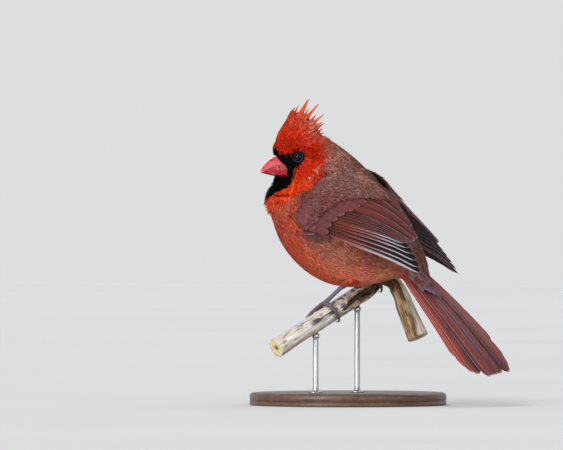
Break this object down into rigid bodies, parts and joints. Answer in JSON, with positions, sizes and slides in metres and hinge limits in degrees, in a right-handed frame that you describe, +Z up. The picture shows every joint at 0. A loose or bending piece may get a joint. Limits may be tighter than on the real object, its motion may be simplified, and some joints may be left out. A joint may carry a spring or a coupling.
{
  "type": "northern cardinal",
  "caption": "Still, life-size male northern cardinal with a raised crest, gripping a short length of dry stalk held up on rods above a round base.",
  "frame": {"origin": "centre of the round base's underside", "axes": "+Z up, the body faces -Y and its left side is +X"},
  "size_m": [0.124, 0.1698, 0.1935],
  "materials": {
    "plumage_red": "matte, loose feathers",
    "plumage_back": "matte, loose feathers",
    "wing_feathers": "smooth vanes, low sheen",
    "tail_feathers": "smooth vanes, low sheen",
    "bill_horn": "smooth horn, soft shine",
    "claw_horn": "dark horn",
    "eye": "wet gloss",
    "leg_scales": "scaled, satin",
    "dry_stalk": "weathered, matte",
    "stand_wood": "dark stain, satin",
    "stand_rod": "satin"
  },
  "bodies": {
    "root": {"bill_lower": "bill_horn", "bill_upper": "bill_horn", "claw_left_1": "claw_horn", "claw_left_2": "claw_horn", "claw_left_3": "claw_horn", "claw_left_4": "claw_horn", "claw_right_1": "claw_horn", "claw_right_2": "claw_horn", "claw_right_3": "claw_horn", "claw_right_4": "claw_horn", "crest": "plumage_red", "eye_left": "eye", "eye_right": "eye", "foot_left": "leg_scales", "foot_right": "leg_scales", "head": "plumage_red", "neck": "plumage_red", "perch": "dry_stalk", "perch_bend": "dry_stalk", "rump": "plumage_back", "stand_base": "stand_wood", "stand_rod_1": "stand_rod", "stand_rod_2": "stand_rod", "tail": "tail_feathers", "tarsus_left": "leg_scales", "tarsus_right": "leg_scales", "thigh_left": "plumage_red", "thigh_right": "plumage_red", "trunk": "plumage_red", "wing_left_coverts": "wing_feathers", "wing_left_primaries": "wing_feathers", "wing_left_secondaries": "wing_feathers", "wing_right_coverts": "wing_feathers", "wing_right_primaries": "wing_feathers", "wing_right_secondaries": "wing_feathers"}
  },
  "joints": []
}
